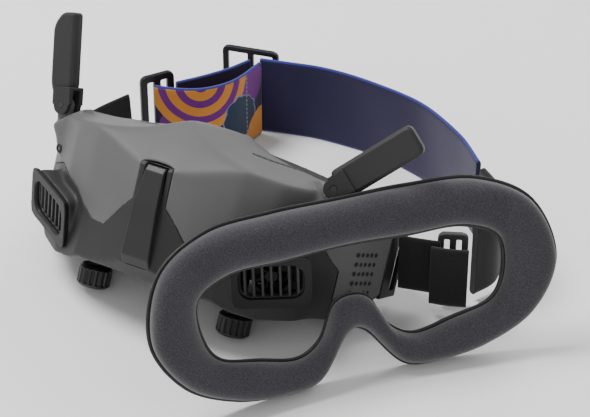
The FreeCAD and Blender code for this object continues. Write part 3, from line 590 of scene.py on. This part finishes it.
PAD_OUTER = [(0, 83.6), (29.6, 83.9), (58.7, 81.9), (80.2, 69.6), (87.9, 43.3), (75.5, 21.7),
             (54.5, 10.8), (35, 8), (19.5, 9.7), (4.6, 26.9), (0, 29)]
PAD_INNER = [(0, 63.6), (27.2, 62.7), (51.7, 62.3), (65.1, 55), (64.5, 38.2), (59, 29.9),
             (41.9, 25.1), (24.9, 21.9), (15.5, 27), (7, 41.4), (0, 43.4)]
PAD_ARCH, FOAM_FRONT, FOAM_BACK, BACKING = 361.0, -3.6, 5.5, 1.5
PAD_PLACE, PAD_YAW, PAD_LEAN = (100.0, -5.1, -5.65), math.radians(49.9), math.radians(22.4)
PAD = (FLOOR @ Matrix.Translation(PAD_PLACE) @ Matrix.Rotation(PAD_YAW, 4, "Z")
       @ Matrix.Rotation(-PAD_LEAN, 4, "X"))


def whole(half):
    """The closed outline from its x >= 0 half."""
    return half + [(-x, z) for x, z in reversed(half[1:-1])]


OUTER = curve_through(whole(PAD_OUTER), 0, closed=True)
INNER = curve_through(whole(PAD_INNER), 0, closed=True)


def arched(x, z, depth):
    """Bends a flat spot of the pad round the face."""
    return (x, depth - x * x / (2 * PAD_ARCH), z)


def pad_ring(name, profile, dents=()):
    """Sweeps a profile of (share of the way inwards, depth, extra outwards mm) round the pad."""
    rows = []
    across = INNER - OUTER
    width = np.linalg.norm(across, axis=1, keepdims=True)
    unit = across / width
    for share, depth, out in profile:
        flat = OUTER + across * share - unit * out
        row = []
        for x, z in flat:
            sink = sum(d * math.exp(-((x - cx) ** 2 + (z - cz) ** 2) / (2 * r * r))
                       for cx, cz, r, d in dents) if share * (1 - share) > 0.02 else 0
            row.append(arched(x, z, depth + sink))
        rows.append(row)
    rows.append(rows[0])
    return grid_mesh(name, rows, True, PAD)


def crown(steps, low, high, power, edge):
    """Half of a super-ellipse from the outer edge over the front to the inner edge."""
    out = []
    for i in range(steps + 1):
        angle = math.pi * i / steps
        side, lift = -math.cos(angle), math.sin(angle)
        side = math.copysign(abs(side) ** (2 / power), side)
        lift = lift ** (2 / power)
        out.append((edge + (1 - 2 * edge) * (side + 1) / 2, low + (high - low) * lift, 0))
    return out


foam_profile = crown(30, FOAM_BACK - 1.2, FOAM_FRONT, 2.5, 0.045)
foam_profile += [(0.93, FOAM_BACK, 0), (0.5, FOAM_BACK, 0), (0.07, FOAM_BACK, 0)]
DENTS = [(-66, 69, 6, 1.7), (66, 69, 6, 1.7), (-60, 27, 8, 0.8), (60, 27, 8, 0.8)]

foam_look = Look("foam_cloth_knit", rough=0.95, sheen=0.35, specular=0.15)
grain = foam_look.noise(2600, 2, 0.6)
cloud = foam_look.noise(60, 3)
speckle = foam_look.ramp(grain, [(0.34, (0.02, 0.019, 0.022)), (0.5, (0.04, 0.037, 0.044)),
                                 (0.7, (0.08, 0.074, 0.088))])
foam_look.colour(foam_look.mix(foam_look.math("MULTIPLY", cloud, 0.3), speckle,
                               (0.05, 0.047, 0.056)))
foam_look.bump(grain, 0.5, 0.0004)
foam = shown("face_pad_foam_soft", pad_ring("foam", foam_profile, DENTS), foam_look.material,
             "face_pad", "face_pad_foam")

rim_look = Look("backing_rubber", rough=0.55)
rim_noise = rim_look.noise(700, 3)
rim_look.colour(rim_look.ramp(rim_noise, [(0.3, (0.008, 0.008, 0.009)), (0.7, (0.02, 0.02, 0.022))]))
rim_look.bump(rim_noise, 0.2, 0.0002)
rim = [(0.0, FOAM_BACK + BACKING, 0), (0.0, FOAM_BACK + 0.4, 0.3), (0.0, FOAM_BACK - 0.6, 0.5),
       (0.0, FOAM_BACK - 1.0, 0.1), (0.06, FOAM_BACK - 0.7, 0), (0.12, FOAM_BACK + 0.05, 0),
       (0.88, FOAM_BACK + 0.05, 0), (0.94, FOAM_BACK - 0.7, 0), (1.0, FOAM_BACK - 1.0, -0.1),
       (1.0, FOAM_BACK - 0.6, -0.5), (1.0, FOAM_BACK + 0.4, -0.3), (1.0, FOAM_BACK + BACKING, 0)]
shown("face_pad_backing_soft", pad_ring("backing", rim), rim_look.material, "face_pad",
      "face_pad_backing")

# ---- antennas ----------------------------------------------------------------------------

HINGE_YAW = math.radians(12)
LEANS = {"left": math.radians(12), "right": math.radians(45)}
# Corners in hinge millimetres (across, up the blade) and each corner's rounding.
BLADES = {
    "left": ([(-6.2, 2.2), (-8.6, 9.0), (-8.6, 34.5), (-3.5, 40.0), (4.4, 40.0), (4.4, 7.0), (0.5, 1.6)],
             [2.0, 2.6, 3.5, 2.6, 1.8, 3.0, 1.5]),
    "right": ([(-6.9, 1.6), (-6.9, 40.4), (6.4, 40.4), (6.4, 5.0), (2.5, 0.6)],
              [2.6, 3.2, 3.6, 3.0, 1.5]),
}
BLADE_LAYERS = [(3.0, 1.2), (2.6, 0.4), (1.8, 0.0), (-1.6, 0.0), (-2.0, 0.12), (-2.05, 0.45),
                (-2.2, 0.5), (-2.75, 1.05), (-3.0, 1.6)]


def rounded(corners, radii, steps=8):
    """A polygon with each corner rounded by its own radius."""
    out = []
    count = len(corners)
    for index, corner in enumerate(corners):
        here = np.array(corner, float)
        before = np.array(corners[index - 1], float) - here
        after = np.array(corners[(index + 1) % count], float) - here
        r = radii[index]
        start = here + before / np.linalg.norm(before) * r
        end = here + after / np.linalg.norm(after) * r
        for step in range(steps + 1):
            t = step / steps
            out.append(tuple((1 - t) ** 2 * start + 2 * t * (1 - t) * here + t * t * end))
    return out


def pillow(name, outline, layers, matrix):
    """A closed slab in local XZ from (depth, inset mm) layers, each inset along the normals."""
    ring = np.array(outline)
    ahead = np.roll(ring, -1, axis=0) - np.roll(ring, 1, axis=0)
    ahead /= np.linalg.norm(ahead, axis=1, keepdims=True) + 1e-12
    inward = np.stack([-ahead[:, 1], ahead[:, 0]], 1)
    area = 0.5 * np.sum(ring[:, 0] * np.roll(ring[:, 1], -1) - np.roll(ring[:, 0], -1) * ring[:, 1])
    if area < 0:
        inward = -inward
    rows = [[(x, depth, z) for x, z in ring + inward * inset] for depth, inset in layers]
    return grid_mesh(name, rows, True, matrix, close_ends=True)


for side, sign in SIDES:
    local = (WORN @ Matrix.Translation((sign * HINGE[0], HINGE[1], HINGE[2]))
             @ Matrix.Rotation(sign * HINGE_YAW, 4, "Z") @ Matrix.Rotation(sign * LEANS[side], 4, "Y"))
    paddle = pillow("paddle_" + side, rounded(*BLADES[side]), BLADE_LAYERS, local)
    shown("antenna_paddle_%s_soft" % side, paddle, ANTENNA, "antenna_" + side,
          "antenna_paddle_" + side)

# ---- strap -------------------------------------------------------------------------------

ROUTES = {
    "band": [(-39, 145.5), (-26, 149), (-10, 152.6), (15, 153), (39, 149), (54, 143.5), (74, 131),
             (91, 115)],
    "print": [(-69, 99.5), (-60, 102), (-48, 108.5), (-40, 120), (-37.5, 142.5)],
    "inner": [(-62, 107), (-54, 119), (-47, 131), (-43, 142)],
}
BAND_TALL, BAND_THICK = 40, 2.0
BAND_LOW = 0.2 - SHIFT[2]  # 0.2 mm above the floor
# Piece: CAD node, route, lower edge, height, thickness, ripple and lean, all in mm.
WEBBINGS = {
    "rear_pad": ("strap_rear_pad", [(94, 113), (104, 105), (112, 94), (115, 82), (111, 70)],
                 3, 35, 3.2, 0.2, 0.0),
    "webbing_left": ("webbing_left", [(-84.8, 57), (-83.4, 73), (-77.6, 91)], 9, 27, 1.8, 0.3, 2.0),
    "webbing_right": ("webbing_right", [(83.5, 53.6), (91, 55.5), (100.5, 58)], 7, 27, 1.8, 0.0, 0.0),
    "webbing_tail": ("webbing_tail_right", [(99.5, 51.6), (107, 53.5), (114.5, 56.6)],
                     6, 29, 2.8, 0.0, 0.0),
}


def ribbon(name, route, low, tall, thick, wave=0.0, lean=0.0, samples=120):
    """A strap standing on its edge, with rounded selvedges and its length and height as UV."""
    path = curve_through([(x, y, 0) for x, y in route], samples)
    ahead = np.gradient(path, axis=0)
    ahead /= np.linalg.norm(ahead, axis=1, keepdims=True)
    across = np.stack([-ahead[:, 1], ahead[:, 0], np.zeros(samples)], 1)
    run = np.r_[0, np.cumsum(np.linalg.norm(np.diff(path, axis=0), axis=1))]
    half = thick / 2
    heights = [0, 0.5, 1.6] + list(np.linspace(3, tall - 3, 14)) + [tall - 1.6, tall - 0.5, tall]
    rows, marks = [], []
    for i in range(samples):
        row, mark = [], []
        for face, order in ((half, heights), (-half, heights[::-1])):
            for z in order:
                edge = min(z, tall - z)
                puff = face * (1.0 if edge > 1.2 else 0.35 + 0.65 * math.sqrt(edge / 1.2))
                bow = wave * math.sin(run[i] * 0.13 + z * 0.08) * math.sin(math.pi * i / (samples - 1))
                tilt = lean * (z / tall - 0.5)
                spot = path[i] + across[i] * (puff + bow + tilt)
                row.append((spot[0], spot[1], low + z))
                mark.append((run[i] * MM, z * MM))
        rows.append(row)
        marks.append(mark)
    return grid_mesh(name, rows, True, FLOOR, close_ends=True, uv=marks)


def fabric(name, ground, piping=None, tall=40.0, rib=900.0, rough=0.9, contrast=0.3):
    """Elastic strap: woven ground in length/height coordinates with piped edges."""
    look = Look(name, rough=rough, sheen=0.25, specular=0.2)
    flat = look.node("ShaderNodeTexCoord").outputs["UV"]
    split = look.node("ShaderNodeSeparateXYZ")
    look.link(flat, split.inputs[0])
    look.along, look.high = split.outputs[0], split.outputs[1]
    ribs = look.wave(rib, "X", flat, 0.3)
    threads = look.wave(rib * 1.3, "Y", flat, 0.3)
    fuzz = look.noise(1400, 3, 0.7)
    weave = look.math("ADD", look.math("MULTIPLY", ribs, 0.4),
                      look.math("ADD", look.math("MULTIPLY", threads, 0.25),
                                look.math("MULTIPLY", fuzz, 0.35)))
    look.weave = weave
    dark = tuple(c * (1 - contrast) for c in ground)
    light = tuple(min(1, c * (1 + contrast)) for c in ground)
    look.ground = look.ramp(weave, [(0.25, dark), (0.75, light)])
    if piping:
        from_top = look.math("SUBTRACT", tall * MM, look.high)
        edge = look.math("MINIMUM", look.high, from_top)
        look.edge = look.math("LESS_THAN", edge, 0.0007)
    look.bump(weave, 0.4, 0.0003)
    return look


INDIGO = (0.017, 0.012, 0.055)
PIPING = (0.035, 0.04, 0.24)
band_look = fabric("band_indigo_weave", INDIGO, True)
band_look.colour(band_look.mix(band_look.edge, band_look.ground, PIPING))
shown("strap_band_soft", ribbon("band", ROUTES["band"], BAND_LOW, BAND_TALL, BAND_THICK, 0.25),
      band_look.material, "goggles", "strap_band")
inner_look = fabric("band_inner_weave", (0.011, 0.009, 0.035), True)
inner_look.colour(inner_look.mix(inner_look.edge, inner_look.ground, (0.03, 0.035, 0.2)))
shown("strap_inner_soft", ribbon("inner", ROUTES["inner"], BAND_LOW, BAND_TALL, BAND_THICK, 0.2),
      inner_look.material, "goggles", "strap_inner_layer")

# The printed layer: generic rings, clouds and a wedge in the strap's colours.
PURPLE, ORANGE = (0.2, 0.018, 0.27), (0.85, 0.33, 0.045)
TEAL, LILAC = (0.022, 0.045, 0.085), (0.25, 0.27, 0.5)
HOOP_PLACE, HOOP_PITCH, HOOP_LINE = (22, 42), 0.0042, 0.0019
STITCH_PLACE, STITCH_HALF, STITCH_PITCH, STITCH_GAP = 0.0475, 0.00035, 0.0012, 0.00045
print_look = fabric("band_print_weave", (0.016, 0.013, 0.05), True)


def disc(look, x, z, radius, wobble=0.0):
    """How far inside (+) or outside (-) a spot on the strap lies of a wavy circle, in metres."""
    dx = look.math("SUBTRACT", look.along, x * MM)
    dz = look.math("SUBTRACT", look.high, z * MM)
    reach = look.math("SQRT", look.math("ADD", look.math("MULTIPLY", dx, dx),
                                        look.math("MULTIPLY", dz, dz)))
    inside = look.math("SUBTRACT", radius * MM, reach)
    if wobble:
        ripple = look.noise(160, 1)
        inside = look.math("ADD", inside, look.math("MULTIPLY", look.math("SUBTRACT", ripple, 0.5),
                                                    wobble * MM))
    return inside


def above(look, value, limit=0.0):
    return look.math("GREATER_THAN", value, limit * MM)


paint_so_far = print_look.ground
for x, z, radius, wobble in ((10, 20, 8, 3), (46, 34, 14, 3)):
    paint_so_far = print_look.mix(above(print_look, disc(print_look, x, z, radius, wobble)),
                                  paint_so_far, PURPLE)
arcs = disc(print_look, *HOOP_PLACE, 27)
stripe = print_look.math("PINGPONG", arcs, HOOP_PITCH)
on_line = print_look.math("GREATER_THAN", stripe, HOOP_LINE)
hoops = print_look.math("MULTIPLY", on_line, above(print_look, arcs))
disc_purple = above(print_look, disc(print_look, *HOOP_PLACE, 22))
paint_so_far = print_look.mix(disc_purple, paint_so_far, PURPLE)
paint_so_far = print_look.mix(hoops, paint_so_far, ORANGE)
blob = disc(print_look, 43, 18, 11, 5)
paint_so_far = print_look.mix(above(print_look, blob, -0.7), paint_so_far, LILAC)
paint_so_far = print_look.mix(above(print_look, blob), paint_so_far, TEAL)
wedge = disc(print_look, 62, 2, 15, 2)
paint_so_far = print_look.mix(above(print_look, wedge), paint_so_far, ORANGE)
from_seam = print_look.math("ABSOLUTE", print_look.math("SUBTRACT", print_look.along, STITCH_PLACE))
on_seam = print_look.math("LESS_THAN", from_seam, STITCH_HALF)
on_thread = print_look.math("GREATER_THAN", print_look.math("PINGPONG", print_look.high, STITCH_PITCH),
                            STITCH_GAP)
stitch = print_look.math("MULTIPLY", on_seam, on_thread)
paint_so_far = print_look.mix(stitch, paint_so_far, (0.4, 0.3, 0.5))
shade = print_look.ramp(print_look.weave, [(0.2, (0.72, 0.72, 0.72)), (0.8, (1, 1, 1))])
tint = print_look.node("ShaderNodeMix", data_type="RGBA", blend_type="MULTIPLY")
tint.inputs[0].default_value = 1.0
print_look.link(paint_so_far, tint.inputs[6])
print_look.link(shade, tint.inputs[7])
print_look.colour(print_look.mix(print_look.edge, tint.outputs[2], PIPING))
shown("strap_print_soft", ribbon("print", ROUTES["print"], BAND_LOW, BAND_TALL, BAND_THICK, 0.3),
      print_look.material, "goggles", "strap_printed_layer")

web_look = fabric("webbing_black_weave", (0.012, 0.011, 0.013), None, rib=650.0, contrast=0.6)
web_look.colour(web_look.ground)
for name, (node, route, low, tall, thick, ripple, lean) in WEBBINGS.items():
    shown(name + "_soft", ribbon(name, route, low, tall, thick, ripple, lean), web_look.material,
          "goggles", node)

# ---- floor -------------------------------------------------------------------------------

floor_look = Look("studio_floor", rough=0.7)
floor_cloud = floor_look.noise(6, 2)
floor_look.colour(floor_look.ramp(floor_cloud, [(0.3, (0.93, 0.93, 0.93)), (0.7, (0.96, 0.96, 0.96))]))
bpy.ops.mesh.primitive_plane_add(size=8, location=(0, 0, 0))
ground = bpy.context.object
ground.name = "floor"
ground.data.materials.append(floor_look.material)
